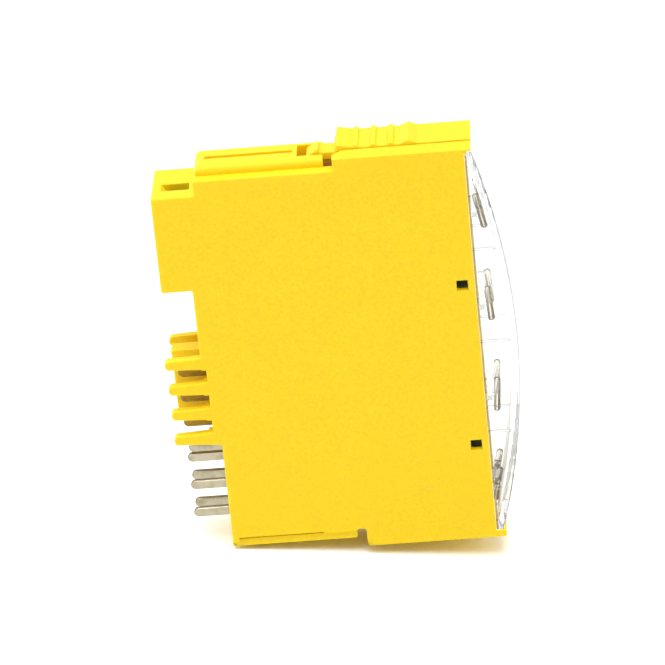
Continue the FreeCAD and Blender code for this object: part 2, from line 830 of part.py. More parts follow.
def circuit_board():
    """Board that fills the housing and reaches into the bus connector with a tongue."""
    floor = z_notch + WALL + BOARD_CLEARANCE
    ceiling = z_deck - WALL - BOARD_CLEARANCE - PAD_TRAVEL
    outline = [
        (x_board_rear, floor),
        (x_board, floor),
        (x_board, ceiling),
        (x_board_rear, ceiling),
        (x_board_rear, z_tongue_high),
        (x_tongue, z_tongue_high),
        (x_tongue, z_tongue_low),
        (x_board_rear, z_tongue_low),
    ]
    board = slab(outline, -y_board, y_board)
    hole = PEG_RADIUS + PEG_CLEARANCE
    return cut(board, [rod(x, z, hole, -OVERCUT, OVERCUT) for x, z in post_places()])


def bus_connector():
    """Socket in the nose: a slot for the base's contacts at the rear, a slot for the board in front."""
    half = BUS_WIDTH / 2
    low = z_nose + WALL + FIT
    high = z_shoulder - WALL - FIT
    mouth = BUS_SLOT_WIDTH / 2
    body = box(x_bus, x_bus_end, -half, half, low, high)
    rear = box(
        x_bus - OVERCUT, x_bus + BUS_SLOT_DEPTH, -mouth, mouth, low + BUS_SLOT_END, high - BUS_SLOT_END
    )
    grip = box(x_tongue, x_bus_end + OVERCUT, -y_board, y_board, z_tongue_low, z_tongue_high)
    return cut(body, [rear, grip])


def bus_contacts():
    """Sprung contacts along both walls of the bus connector's slot."""
    low = z_nose + WALL + FIT + BUS_SLOT_END
    high = z_shoulder - WALL - FIT - BUS_SLOT_END
    pitch = (high - low) / BUS_ROWS
    half = BUS_CONTACT_WIDTH / 2
    x_end = x_bus + BUS_SLOT_DEPTH
    strips = []
    for side in (LEFT, RIGHT):
        wall = side * BUS_SLOT_WIDTH / 2
        face = wall - side * BUS_CONTACT_THICK
        for row in range(BUS_ROWS):
            z = low + (row + 0.5) * pitch
            strips.append(box(x_end - BUS_CONTACT_LENGTH, x_end, wall, face, z - half, z + half))
    return Part.makeCompound(strips)


# Components on the board: side, distance behind the board's front edge, height above its lower edge,
# and length, height and thickness of the body
COMPONENTS = {
    "microcontroller_a": (LEFT, 13.0, 27.0, 10.0, 10.0, 1.4),
    "microcontroller_b": (LEFT, 13.0, 42.0, 10.0, 10.0, 1.4),
    "bus_controller": (LEFT, 29.0, 47.0, 8.0, 8.0, 1.2),
    "clock_crystal_a": (LEFT, 21.5, 27.0, 3.2, 5.0, 1.0),
    "clock_crystal_b": (LEFT, 21.5, 42.0, 3.2, 5.0, 1.0),
    "supply_transformer": (RIGHT, 30.0, 44.0, 9.0, 9.0, 3.6),
    "supply_inductor": (RIGHT, 17.0, 44.0, 6.0, 6.0, 2.8),
    "supply_fuse": (RIGHT, 17.0, 35.0, 6.1, 2.6, 1.2),
    "input_isolator_1": (RIGHT, 24.0, 6.0, 6.5, 4.4, 2.0),
    "input_isolator_2": (RIGHT, 24.0, 12.5, 6.5, 4.4, 2.0),
    "input_isolator_3": (RIGHT, 24.0, 19.0, 6.5, 4.4, 2.0),
    "input_isolator_4": (RIGHT, 24.0, 25.5, 6.5, 4.4, 2.0),
    "input_filter": (LEFT, 27.0, 14.0, 8.0, 12.0, 1.0),
    "buffer_capacitor": (LEFT, 12.0, 13.0, 5.0, 7.3, 3.0),
}


def component(name):
    """Body of one board component, with the long edges of its top face bevelled."""
    side, back, up, length, tall, thick = COMPONENTS[name]
    x = x_board - back
    z = z_notch + WALL + BOARD_CLEARANCE + up
    top = side * (y_board + thick)
    body = box(x - length / 2, x + length / 2, side * y_board, top, z - tall / 2, z + tall / 2)
    return body.makeChamfer(EDGE_ROUND, edges_at(body, top))


def build():
    """Every piece of the module by its node name."""
    pieces = {
        "left_housing": housing_half(LEFT),
        "right_housing": housing_half(RIGHT),
        "front_cover": front_cover(),
        "label_strip": label_strip(),
        "latch_lever": latch_lever(),
        "contact_carrier": contact_carrier(),
        "circuit_board": circuit_board(),
        "bus_connector": bus_connector(),
        "bus_contacts": bus_contacts(),
    }
    for name, (side, row) in blade_places().items():
        pieces[name] = contact_blade(side, row)
    for index in range(SEGMENTS):
        pieces[f"light_guide_{index + 1}"] = light_guide(index)
        pieces[f"left_lamp_{index + 1}"] = status_lamp(LEFT, index)
        pieces[f"right_lamp_{index + 1}"] = status_lamp(RIGHT, index)
    for name in COMPONENTS:
        pieces[name] = component(name)
    return pieces


os.makedirs("parts", exist_ok=True)
for name, shape in build().items():
    shape.exportStep(f"parts/{name}.step")
    bounds = shape.BoundBox
    print(
        f"{name}: {len(shape.Solids)} solid, valid {shape.isValid()}, {shape.Volume:.1f} mm3, "
        f"X {bounds.XMin:.2f} {bounds.XMax:.2f} Y {bounds.YMin:.2f} {bounds.YMax:.2f} "
        f"Z {bounds.ZMin:.2f} {bounds.ZMax:.2f}"
    )
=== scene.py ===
"""Dressed scene of a slim safe input module on a white studio floor.

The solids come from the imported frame. This script gives each of them a finish and sets the floor, the lamps
and the camera.

Metres, in the frame of the solids: X from the plug side to the clear cover, Y across, Z up.
Sizes that belong to the product are written in millimetres and carry the unit in their name.
"""

from __future__ import annotations

import logging
import math
from collections.abc import Iterable, Mapping
from dataclasses import dataclass
from enum import Enum

import bpy
import numpy as np
from mathutils import Matrix, Vector


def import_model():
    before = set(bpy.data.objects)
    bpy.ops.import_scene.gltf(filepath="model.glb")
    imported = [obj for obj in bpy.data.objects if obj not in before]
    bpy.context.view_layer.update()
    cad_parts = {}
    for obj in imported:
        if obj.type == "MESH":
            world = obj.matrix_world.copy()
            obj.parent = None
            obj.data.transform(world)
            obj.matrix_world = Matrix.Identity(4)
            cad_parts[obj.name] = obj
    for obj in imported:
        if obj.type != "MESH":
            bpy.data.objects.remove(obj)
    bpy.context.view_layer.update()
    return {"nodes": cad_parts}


LOG = logging.getLogger("safe_input_module")
MM = 0.001

Rgb = tuple[float, float, float]
Point = tuple[float, float, float]
# Values at which a soft step is 0 and 1
Band = tuple[float, float]


class Axis(Enum):
    """Axes of the frame, by their place in a coordinate."""

    X = 0
    Y = 1
    Z = 2


class Ray(Enum):
    """Kinds of rays that a surface can tell apart."""

    CAMERA = "Is Camera Ray"
    GLOSSY = "Is Glossy Ray"
    TRANSMISSION = "Is Transmission Ray"
    SHADOW = "Is Shadow Ray"


class Wire:
    """One output of a node, on which arithmetic adds Math nodes."""

    def __init__(self, sheet: Sheet, socket: bpy.types.NodeSocket) -> None:
        """Wrap a socket.

        Args:
            sheet: Node sheet that the socket is on.
            socket: Output socket.
        """
        self.sheet = sheet
        self.socket = socket

    def _math(self, operation: str, *values: Wire | float) -> Wire:
        """Add a Math node.

        Args:
            operation: Name of the node's operation.
            values: Its inputs in order.

        Returns:
            The node's result.
        """
        return self.sheet.node("ShaderNodeMath", {"operation": operation}, dict(enumerate(values)))

    def __add__(self, other: Wire | float) -> Wire:
        """Sum."""
        return self._math("ADD", self, other)

    def __radd__(self, other: float) -> Wire:
        """Sum with a number first."""
        return self._math("ADD", other, self)

    def __sub__(self, other: Wire | float) -> Wire:
        """Difference."""
        return self._math("SUBTRACT", self, other)

    def __rsub__(self, other: float) -> Wire:
        """Difference with a number first."""
        return self._math("SUBTRACT", other, self)

    def __mul__(self, other: Wire | float) -> Wire:
        """Product."""
        return self._math("MULTIPLY", self, other)

    def __rmul__(self, other: float) -> Wire:
        """Product with a number first."""
        return self._math("MULTIPLY", other, self)

    def __abs__(self) -> Wire:
        """Size without the sign."""
        return self._math("ABSOLUTE", self)

    def __mod__(self, other: float) -> Wire:
        """Remainder that is never negative."""
        return self._math("FLOORED_MODULO", self, other)

    def at_most(self, other: Wire | float) -> Wire:
        """Smaller of two values."""
        return self._math("MINIMUM", self, other)

    def at_least(self, other: Wire | float) -> Wire:
        """Larger of two values."""
        return self._math("MAXIMUM", self, other)

    def root(self) -> Wire:
        """Square root."""
        return self._math("SQRT", self)

    def swing(self, size: float) -> Wire:
        """Noise from 0 to 1 as a swing about 0, as wide as the size."""
        return (self - 0.5) * size

    def rise(self, band: Band, place: float = 0.0) -> Wire:
        """Go smoothly from 0 at one end of a band of values to 1 at the other.

        Args:
            band: Values at which the result is 0 and 1.
            place: What is added to both.

        Returns:
            The smooth step.
        """
        ends = (place + end for end in band)
        settings = {"interpolation_type": "SMOOTHSTEP"}
        return self.sheet.node("ShaderNodeMapRange", settings, dict(enumerate((self, *ends))))


class Sheet:
    """Node sheet of one material or of the world."""

    # Places of the sockets on a Mix node that blends colours
    MIX_SHARE = 0
    MIX_FIRST = 6
    MIX_SECOND = 7
    MIX_RESULT = 2

    def __init__(self, tree: bpy.types.NodeTree) -> None:
        """Start an empty sheet.

        Args:
            tree: Node tree to fill.
        """
        self.tree = tree
        self.tree.nodes.clear()

    @classmethod
    def material(cls, name: str) -> tuple[bpy.types.Material, Sheet]:
        """Make a material with an empty sheet.

        Args:
            name: Name of the material.

        Returns:
            The material and its sheet.
        """
        made = bpy.data.materials.new(name)
        made.use_nodes = True
        return made, cls(made.node_tree)

    def add(
        self,
        kind: str,
        settings: Mapping[str, object] | None = None,
        inputs: Mapping[str | int, object] | None = None,
    ) -> bpy.types.Node:
        """Add a node.

        Args:
            kind: Type of the node.
            settings: What is set on the node first.
            inputs: Values or wires for its sockets, by name or place.

        Returns:
            The node.
        """
        made = self.tree.nodes.new(kind)
        for key, value in (settings or {}).items():
            setattr(made, key, value)
        for key, value in (inputs or {}).items():
            if isinstance(value, Wire):
                self.tree.links.new(value.socket, made.inputs[key])
            else:
                made.inputs[key].default_value = value
        return made

    def node(
        self,
        kind: str,
        settings: Mapping[str, object] | None = None,
        inputs: Mapping[str | int, object] | None = None,
        output: str | int = 0,
    ) -> Wire:
        """Add a node and take one of its outputs.

        Args:
            kind: Type of the node.
            settings: What is set on the node first.
            inputs: Values or wires for its sockets, by name or place.
            output: Output that is wanted, by name or place.

        Returns:
            That output.
        """
        return Wire(self, self.add(kind, settings, inputs).outputs[output])

    def place(self) -> Wire:
        """Object coordinates, in metres."""
        return self.node("ShaderNodeTexCoord", output="Object")

    def along(self, axis: Axis) -> Wire:
        """One object coordinate in millimetres.

        Args:
            axis: Axis that is read.

        Returns:
            The coordinate.
        """
        return self.node("ShaderNodeSeparateXYZ", None, {0: self.place()}, axis.value) * (1 / MM)

    def stretched(self, scale: Point, turn_deg: Point = (0.0, 0.0, 0.0)) -> Wire:
        """Object coordinates that are scaled and then turned.

        Args:
            scale: Factor along each axis.
            turn_deg: Turn about each axis in degrees.

        Returns:
            The changed coordinates.
        """
        turn = [math.radians(angle) for angle in turn_deg]
        inputs = {"Vector": self.place(), "Rotation": turn, "Scale": scale}
        return self.node("ShaderNodeMapping", None, inputs)

    def noise(self, cell_mm: float, detail: float = 2.0, place: Wire | None = None) -> Wire:
        """Cloudy noise from 0 to 1.

        Args:
            cell_mm: Size of its blotches in millimetres.
            detail: Octaves of finer noise.
            place: Coordinates in place of the plain ones.

        Returns:
            The noise.
        """
        inputs = {"Vector": place or self.place(), "Scale": 1 / (cell_mm * MM), "Detail": detail}
        return self.node("ShaderNodeTexNoise", None, inputs, "Fac")

    def ray(self, kind: Ray) -> Wire:
        """1 on rays of one kind and 0 on all others."""
        return self.node("ShaderNodeLightPath", output=kind.value)

    def mix(self, share: Wire | float, first: Wire | Rgb, second: Wire | Rgb) -> Wire:
        """Blend two colours.

        Args:
            share: Share of the second colour.
            first: Colour where the share is 0.
            second: Colour where the share is 1.

        Returns:
            The blended colour.
        """
        ends = [end if isinstance(end, Wire) else (*end, 1.0) for end in (first, second)]
        inputs = {self.MIX_SHARE: share, self.MIX_FIRST: ends[0], self.MIX_SECOND: ends[1]}
        return self.node("ShaderNodeMix", {"data_type": "RGBA"}, inputs, self.MIX_RESULT)

    def bump(self, height: Wire, depth_mm: float, strength: float = 1.0) -> Wire:
        """Turn a height into a bent normal.

        Args:
            height: Height from 0 to 1.
            depth_mm: What a height of 1 is in millimetres.
            strength: How much of the relief shows.

        Returns:
            The normal.
        """
        inputs = {"Height": height, "Distance": depth_mm * MM, "Strength": strength}
        return self.node("ShaderNodeBump", None, inputs)

    def surface(self, inputs: Mapping[str, object]) -> None:
        """Close the sheet with one principled surface.

        Args:
            inputs: Values or wires for the shader's sockets.
        """
        shader = self.node("ShaderNodeBsdfPrincipled", None, inputs)
        self.close("ShaderNodeOutputMaterial", shader)

    def clear_surface(self, inputs: Mapping[str, object], passed: Rgb) -> None:
        """Close the sheet with one principled surface that lets the light of lamps straight through.

        Args:
            inputs: Values or wires for the shader's sockets.
            passed: Share of a lamp's light that goes through.
        """
        shader = self.node("ShaderNodeBsdfPrincipled", None, inputs)
        through = self.node("ShaderNodeBsdfTransparent", None, {"Color": (*passed, 1.0)})
        choice = (self.ray(Ray.SHADOW), shader, through)
        mixed = self.node("ShaderNodeMixShader", None, dict(enumerate(choice)))
        self.close("ShaderNodeOutputMaterial", mixed)

    def close(self, kind: str, shader: Wire) -> None:
        """Lead a shader to the sheet's output.

        Args:
            kind: Type of the output node.
            shader: Shader that shows.
        """
        self.add(kind, None, {"Surface": shader})


@dataclass(frozen=True)
class MouldedPlastic:
    """Opaque moulded plastic with the fine pitted skin of a spark-eroded mould.

    A share says how much of a pattern shows, and a band is the noise levels between which it fades in. The
    spread is the share of the light that scatters below the skin, and how far each colour of it gets.
    """

    name: str
    colour: Rgb
    # Colour of the painted shade in the pits of the skin
    pit_shade: Rgb
    roughness: float = 0.5
    rough_swing: float = 0.16
    gloss: float = 0.4
    grain_mm: float = 0.3
    relief_mm: float = 0.02
    # Painted shade in the pits, and drift of the tone
    pit_band: Band = (0.62, 0.32)
    pit_share: float = 0.55
    drift_mm: float = 14.0
    drift_share: float = 0.25
    # Scuffs
    scuff_mm: float = 3.0
    scuff_stretch: Point = (0.35, 1.0, 2.6)
    scuff_turn_deg: Point = (0.0, 34.0, 0.0)
    scuff_band: Band = (0.68, 0.78)
    scuffed_area_band: Band = (0.5, 0.64)
    scuff_share: float = 0.35
    scuff_polish: float = 0.08
    rubbed_grey: float = 0.8
    rubbed_share: float = 0.25
    # Light below the skin
    spread: float = 0.0
    spread_mm: float = 0.8
    spread_rgb: Rgb = (1.0, 0.68, 0.14)

    def material(self) -> bpy.types.Material:
        """Make the material.

        Fine noise pits the skin and paints shade into the pits, broad noise drifts the tone, and thin
        stretched noise rubs a few paler scuffs into it.

        Returns:
            The material.
        """
        made, sheet = Sheet.material(self.name)
        grain = sheet.noise(self.grain_mm, detail=3.0)
        drift = sheet.noise(self.drift_mm)
        streaks = sheet.stretched(self.scuff_stretch, self.scuff_turn_deg)
        scratch = sheet.noise(self.scuff_mm, detail=4.0, place=streaks)
        scuff = scratch.rise(self.scuff_band) * drift.rise(self.scuffed_area_band)
        # Painted shade in the pits, plus a random drift of the tone
        dark = grain.rise(self.pit_band) * self.pit_share + drift * self.drift_share
        body = sheet.mix(dark, self.colour, self.pit_shade)
        grey = self.rubbed_share * self.rubbed_grey
        rubbed = tuple((1 - self.rubbed_share) * part + grey for part in self.colour)
        sheet.surface(
            {
                "Base Color": sheet.mix(scuff * self.scuff_share, body, rubbed),
                "Roughness": self.roughness + grain.swing(self.rough_swing) - scuff * self.scuff_polish,
                "Normal": sheet.bump(grain, self.relief_mm),
                "Specular IOR Level": self.gloss,
                "Subsurface Weight": self.spread,
                "Subsurface Radius": self.spread_rgb,
                "Subsurface Scale": self.spread_mm * MM,
            }
        )
        return made


@dataclass(frozen=True)
class Bow:
    """Arc of the cover's face, seen from the side, and the dividers behind it.

    A band is the distances between which a mark fades in.
    """

    # Places along X
    front_mm: float = 30.7
    end_mm: float = 25.45
    rear_mm: float = 24.1
    # Heights
    low_mm: float = 1.5
    high_mm: float = 73.8
    # Distance across, and thickness of the walls
    side_mm: float = 6.3
    wall_mm: float = 1.2
    # Rounded edges of the face, with shares of the rounding at which their painted dark lines lie
    round_mm: float = 0.5
    edge_share: float = 0.4
    edge_depth_share: float = 0.6
    edge_band_mm: Band = (0.16, 0.08)
    # Dividers and their ends at the walls, which take a lesser share of the painted dark lines
    pitch_mm: float = 17.5
    divider_mm: float = 0.4
    divider_share: float = 0.8
    divider_band_mm: Band = (0.04, 0.02)
    inside_band_mm: Band = (0.0, 0.2)
    end_band_mm: Band = (-0.5, -0.4)
    wall_band_mm: Band = (0.05, 0.03)
    # Polished part, and faces that touch the housing
    polish_band_mm: Band = (-0.1, 0.0)
    touch_band_mm: Band = (0.06, 0.04)
    rim_band_mm: Band = (0.0, 0.04)

    @property
    def middle_mm(self) -> float:
        """Height of the arc's middle."""
        return (self.low_mm + self.high_mm) / 2

    @property
    def radius_mm(self) -> float:
        """Radius of the arc, from half of its chord and its rise.

        Returns:
            The sum of their squares over twice the rise.
        """
        half_chord = (self.high_mm - self.low_mm) / 2
        rise = self.front_mm - self.end_mm
        return (half_chord**2 + rise**2) / (2 * rise)

    @property
    def centre_mm(self) -> float:
        """Place of the arc's centre along X."""
        return self.front_mm - self.radius_mm

    @property
    def inner_mm(self) -> float:
        """Distance across to the inside of a side wall."""
        return self.side_mm - self.wall_mm

    def lines(self, sheet: Sheet) -> Wire:
        """Mark the edges where dark lines of painted shade stand in for the refraction that darkens them in
        clear plastic.

        They are the rounded long edges of the face, by the depth below the arc and the distance across, and
        the ends of the dividers at the side walls, by that depth, the height and the distance across.

        Args:
            sheet: Sheet of the material.

        Returns:
            1 on the long edges, a lesser share on the divider ends and 0 elsewhere.
        """
        x, y, z = (sheet.along(axis) for axis in Axis)
        across = abs(y)
        out = x - self.centre_mm
        up = z - self.middle_mm
        depth = self.radius_mm - (out * out + up * up).root()
        near_face = depth.rise((self.round_mm, self.edge_depth_share * self.round_mm))
        from_edge = abs(across - (self.side_mm - self.edge_share * self.round_mm))
        edge = from_edge.rise(self.edge_band_mm) * near_face
        half_pitch = self.pitch_mm / 2
        from_divider = abs((up + half_pitch) % self.pitch_mm - half_pitch)
        plate = from_divider.rise(self.divider_band_mm, self.divider_mm / 2)
        inside = depth.rise(self.inside_band_mm, self.wall_mm)
        end = across.rise(self.end_band_mm, self.inner_mm) * across.rise(self.wall_band_mm, self.inner_mm)
        return edge.at_least(plate * inside * end * self.divider_share)

    def polish(self, sheet: Sheet) -> Wire:
        """Mark what stands in front of the housing and is polished, by the depth of the cover.

        Args:
            sheet: Sheet of the material.

        Returns:
            1 there and 0 on the catches, which sit inside the housing.
        """
        return sheet.along(Axis.X).rise(self.polish_band_mm, self.rear_mm)

    def mirrors(self, sheet: Sheet) -> Wire:
        """Mark the faces that lie against the housing and throw the light back inside the clear wall.

        They are the bottom, by the height, and the rear rims of the two side walls, by the depth of the cover
        and the distance across.

        Args:
            sheet: Sheet of the material.

        Returns:
            1 on those faces and 0 elsewhere.
        """
        x, y, z = (sheet.along(axis) for axis in Axis)
        rear = abs(x - self.rear_mm).rise(self.touch_band_mm)
        rim = rear * abs(y).rise(self.rim_band_mm, self.inner_mm)
        return rim.at_least(z.rise(self.touch_band_mm, self.low_mm))


@dataclass(frozen=True)
class Rods:
    """Rod lenses that lean with the bow, and dark streaks of painted shade along their round sides.

    A rod is set out from the front of the housing, or inset below the arc where that lies further back, and
    drops below the middle of its segment. Its clear middle divides the two streaks. A band is the distances
    between which a streak fades in.
    """

    bow: Bow = Bow()
    setout_mm: float = 2.1
    inset_mm: float = 2.45
    drop_mm: float = 2.2
    half_mm: float = 3.3
    core_mm: float = 0.1
    core_band_mm: Band = (-0.03, 0.0)
    streak_mm: float = 0.42
    streak_band_mm: Band = (0.0, 0.05)
    broad_share: float = 0.6

    def streaks(self, sheet: Sheet) -> Wire:
        """Mark two dark streaks of painted shade along each rod, by the distance from its axis and the height
        on it.

        Args:
            sheet: Sheet of the material.

        Returns:
            1 on the streaks, which run to a point at the upper end of the rod, and 0 elsewhere.
        """
        bow = self.bow
        up = sheet.along(Axis.Z) - bow.middle_mm
        on_rod = (up + self.drop_mm) % bow.pitch_mm - bow.pitch_mm / 2
        rod = up - on_rod
        below_arc = ((bow.radius_mm - self.inset_mm) ** 2 - rod * rod).root() + bow.centre_mm
        axis = below_arc.at_most(bow.rear_mm + self.setout_mm)
        lean = rod * (1 / bow.radius_mm)
        off = abs(sheet.along(Axis.X) - axis + on_rod * lean)
        width = on_rod.rise((self.half_mm, -self.broad_share * self.half_mm)) * self.streak_mm
        outer = (width + self.core_mm - off).rise(self.streak_band_mm)
        return off.rise(self.core_band_mm, self.core_mm) * outer


@dataclass(frozen=True)
class ClearPlastic:
    """Clear moulded plastic with a faint tint, flow lines and a touch of haze from handling."""

    name: str
    tint: Rgb
    bend: float = 1.5
    haze: float = 0.03
    least_haze: float = 0.4
    smear_mm: float = 2.2
    flow_mm: float = 6.0
    flow_stretch: Point = (1.0, 1.0, 0.3)
    flow_tint: float = 0.985
    wave_mm: float = 0.02
    wave_share: float = 0.4
    gloss: float = 0.0
    coat_haze: float = 0.02
    bow: Bow | None = None
    rods: Rods | None = None
    # Colour of the painted shade: dark lines on the cover and dark streaks in the light guides, where
    # refraction darkens clear plastic
    painted_shade: Rgb = (0.22, 0.23, 0.23)

    def material(self) -> bpy.types.Material:
        """Make the material.

        Broad noise, drawn out along the height, makes the tint drift and bends the surface a little, and
        finer noise makes the haze drift. A cover has the painted dark lines of its bow, and a light guide the
        painted dark streaks of its rods: painted shade that stands in for the darkening by refraction.

        Returns:
            The material.
        """
        made, sheet = Sheet.material(self.name)
        flow = sheet.noise(self.flow_mm, place=sheet.stretched(self.flow_stretch))
        smear = sheet.noise(self.smear_mm, detail=3.0)
        body = sheet.mix(flow, self.tint, tuple(self.flow_tint * part for part in self.tint))
        coat: Wire | float = self.gloss
        mirror: Wire | float = 0.0
        if self.bow is not None:
            # Painted shade: dark lines along the bow's rounded edges and divider ends
            body = sheet.mix(self.bow.lines(sheet), body, self.painted_shade)
            coat = self.bow.polish(sheet) * self.gloss
            mirror = self.bow.mirrors(sheet)
        if self.rods is not None:
            # Painted shade: dark streaks along the rods
            body = sheet.mix(self.rods.streaks(sheet), body, self.painted_shade)
        sheet.clear_surface(
            {
                "Base Color": body,
                "Metallic": mirror,
                "Roughness": self.haze * (self.least_haze + smear),
                "Normal": sheet.bump(flow, self.wave_mm, self.wave_share),
                "IOR": self.bend,
                "Transmission Weight": 1.0,
                "Coat Weight": coat,
                "Coat Roughness": self.coat_haze,
            },
            self.tint,
        )
        return made


@dataclass(frozen=True)
class PlatedMetal:
    """Plated sheet metal with rolling marks along its length and a dulled, faintly stained surface."""

    name: str
    colour: Rgb
    stain: Rgb
    stain_mm: float = 1.6
    stain_band: Band = (0.42, 0.72)
    stain_swing: float = 0.15
    roughness: float = 0.32
    line_mm: float = 0.12
    line_stretch: Point = (0.05, 1.0, 1.0)
    line_swing: float = 0.2
    line_depth_mm: float = 0.012
    line_share: float = 0.7
    # Colour of the cut edges: base metal, darkened with painted shade
    edge_metal_and_shade: Rgb | None = None
    core_band_mm: Band = (0.0, -0.06)
    middle_mm: float = 0.0
    half_mm: float = 0.0

    def material(self) -> bpy.types.Material:
        """Make the material.

        Noise drawn out along the rolling direction makes fine lines, and cloudy noise stains the plating. The
        strip was plated before it was stamped, so its base metal shows on the cut edges, where the distance
        across is between the two faces of the sheet; the cut edges are darkened with painted shade as well.

        Returns:
            The material.
        """
        made, sheet = Sheet.material(self.name)
        lines = sheet.noise(self.line_mm, place=sheet.stretched(self.line_stretch))
        cloud = sheet.noise(self.stain_mm, detail=4.0)
        colour = sheet.mix(cloud.rise(self.stain_band), self.colour, self.stain)
        if self.edge_metal_and_shade is not None:
            # The cut edges take the base metal colour with painted shade
            off = abs(abs(sheet.along(Axis.Y)) - self.middle_mm)
            colour = sheet.mix(off.rise(self.core_band_mm, self.half_mm), colour, self.edge_metal_and_shade)
        sheet.surface(
            {
                "Base Color": colour,
                "Roughness": self.roughness + lines.swing(self.line_swing) + cloud.swing(self.stain_swing),
                "Normal": sheet.bump(lines, self.line_depth_mm, self.line_share),
                "Metallic": 1.0,
            }
        )
        return made


@dataclass(frozen=True)
class LabelCard:
    """Blank label, thin enough to let some light through, with the fibres of its paper."""

    name: str
    paper: Rgb
    fibre: Rgb
    cover: float = 1.0
    roughness: float = 0.75
    rough_swing: float = 0.2
    gloss: float = 0.25
    fibre_mm: float = 0.25
    fibre_stretch: Point = (1.0, 1.0, 0.25)
    fibre_band: Band = (0.4, 0.8)
    relief_mm: float = 0.01

    def material(self) -> bpy.types.Material:
        """Make the material.

        Fine noise drawn out along the height gives the fibres.

        Returns:
            The material.
        """
        made, sheet = Sheet.material(self.name)
        fibres = sheet.noise(self.fibre_mm, detail=4.0, place=sheet.stretched(self.fibre_stretch))
        sheet.surface(
            {
                "Base Color": sheet.mix(fibres.rise(self.fibre_band), self.paper, self.fibre),
                "Roughness": self.roughness + fibres.swing(self.rough_swing),
                "Normal": sheet.bump(fibres, self.relief_mm),
                "Alpha": self.cover,
                "Specular IOR Level": self.gloss,
            }
        )
        return made


@dataclass(frozen=True)
class BoardLaminate:
    """Solder-masked circuit board: copper tracks show as paler lines through the mask."""

    name: str
    mask: Rgb
    track: Rgb
    pitch_mm: float = 1.27
    track_band_mm: Band = (0.22, 0.16)
    block_mm: float = 5.0
    block_band: Band = (0.45, 0.55)
    weave_mm: float = 0.5
    weave_share: float = 0.15
    relief_mm: float = 0.035
    roughness: float = 0.3
    gloss: float = 0.3

    def lines(self, sheet: Sheet, axis: Axis) -> Wire:
        """Lines at an even pitch, by the remainder of a coordinate.

        Args:
            sheet: Sheet of the material.
            axis: Axis that the lines cross.

        Returns:
            1 on the lines and 0 between them.
        """
        return abs(sheet.along(axis) % self.pitch_mm - self.pitch_mm / 2).rise(self.track_band_mm)

    def material(self) -> bpy.types.Material:
        """Make the material.

        A square grid of lines, broken up by blocky noise, makes the tracks, and the glass weave shows
        faintly.

        Returns:
            The material.
        """
        made, sheet = Sheet.material(self.name)
        blocks = {"Vector": sheet.place(), "Scale": 1 / (self.block_mm * MM)}
        choice = sheet.node("ShaderNodeTexVoronoi", {"distance": "CHEBYCHEV"}, blocks, "Color")
        pick = sheet.node("ShaderNodeSeparateColor", None, {0: choice})
        upright = self.lines(sheet, Axis.X) * pick.rise(self.block_band)
        level = self.lines(sheet, Axis.Z) * pick.rise(self.block_band[::-1])
        tracks = upright + level
        weave = sheet.noise(self.weave_mm, detail=1.0) * self.weave_share
        sheet.surface(
            {
                "Base Color": sheet.mix(tracks, self.mask, self.track),
                "Roughness": self.roughness + weave,
                "Normal": sheet.bump(tracks + weave, self.relief_mm),
                "Coat Weight": self.gloss,
            }
        )
        return made


@dataclass(frozen=True)
class PressedBody:
    """Moulded or pressed body of a board component."""

    name: str
    colour: Rgb
    speck: Rgb
    speck_band: Band = (0.45, 0.8)
    roughness: float = 0.6
    rough_swing: float = 0.2
    grain_mm: float = 0.18
    relief_mm: float = 0.012
    metallic: float = 0.0

    def material(self) -> bpy.types.Material:
        """Make the material.

        Fine noise gives the filler in the moulding compound its specks and its rough skin.

        Returns:
            The material.
        """
        made, sheet = Sheet.material(self.name)
        grain = sheet.noise(self.grain_mm, detail=3.0)
        sheet.surface(
            {
                "Base Color": sheet.mix(grain.rise(self.speck_band), self.colour, self.speck),
                "Roughness": self.roughness + grain.swing(self.rough_swing),
                "Normal": sheet.bump(grain, self.relief_mm),
                "Metallic": self.metallic,
            }
        )
        return made


YELLOW = MouldedPlastic(
    "housing_yellow",
    (0.94, 0.665, 0.006),
    (0.86, 0.59, 0.005),
    roughness=0.52,
    gloss=0.3,
    grain_mm=0.5,
    spread=0.45,
    spread_mm=1.8,
)
BLACK = MouldedPlastic("connector_black", (0.022, 0.022, 0.024), (0.012, 0.012, 0.013), roughness=0.45)
CLEAR = ClearPlastic("clear_cover", (0.985, 0.99, 0.985), bend=1.06, gloss=1.0, bow=Bow())
GUIDE = ClearPlastic(
    "light_guide_clear",
    (0.84, 0.83, 0.79),
    bend=1.49,
    haze=0.02,
    rods=Rods(),
    # Colour of the rods' painted dark streaks
    painted_shade=(0.2, 0.175, 0.11),
)
TIN = PlatedMetal(
    "blade_tin",
    (0.47, 0.44, 0.34),
    (0.36, 0.32, 0.22),
    roughness=0.24,
    # Cut-edge colour: base metal darkened with painted shade
    edge_metal_and_shade=(0.16, 0.13, 0.08),
    middle_mm=1.9,
    half_mm=0.4,
)
GOLD = PlatedMetal("contact_gold", (0.87, 0.62, 0.24), (0.7, 0.46, 0.16), roughness=0.24)
CARD = LabelCard("label_card", (0.92, 0.92, 0.91), (0.87, 0.87, 0.85), cover=0.4)
BOARD = BoardLaminate("board_green", (0.012, 0.024, 0.014), (0.02, 0.055, 0.028))
CHIP = PressedBody("chip_black", (0.016, 0.016, 0.017), (0.05, 0.05, 0.052))
FERRITE = PressedBody("core_grey", (0.075, 0.075, 0.08), (0.14, 0.14, 0.145), roughness=0.5, grain_mm=0.3)
CAN = PressedBody("crystal_can", (0.66, 0.65, 0.62), (0.5, 0.49, 0.46), roughness=0.3, metallic=1.0)
TAN = PressedBody("passive_tan", (0.42, 0.24, 0.09), (0.52, 0.33, 0.15), roughness=0.55)
LAMP = PressedBody("lamp_epoxy", (0.55, 0.72, 0.6), (0.7, 0.82, 0.72), roughness=0.2, grain_mm=0.4)

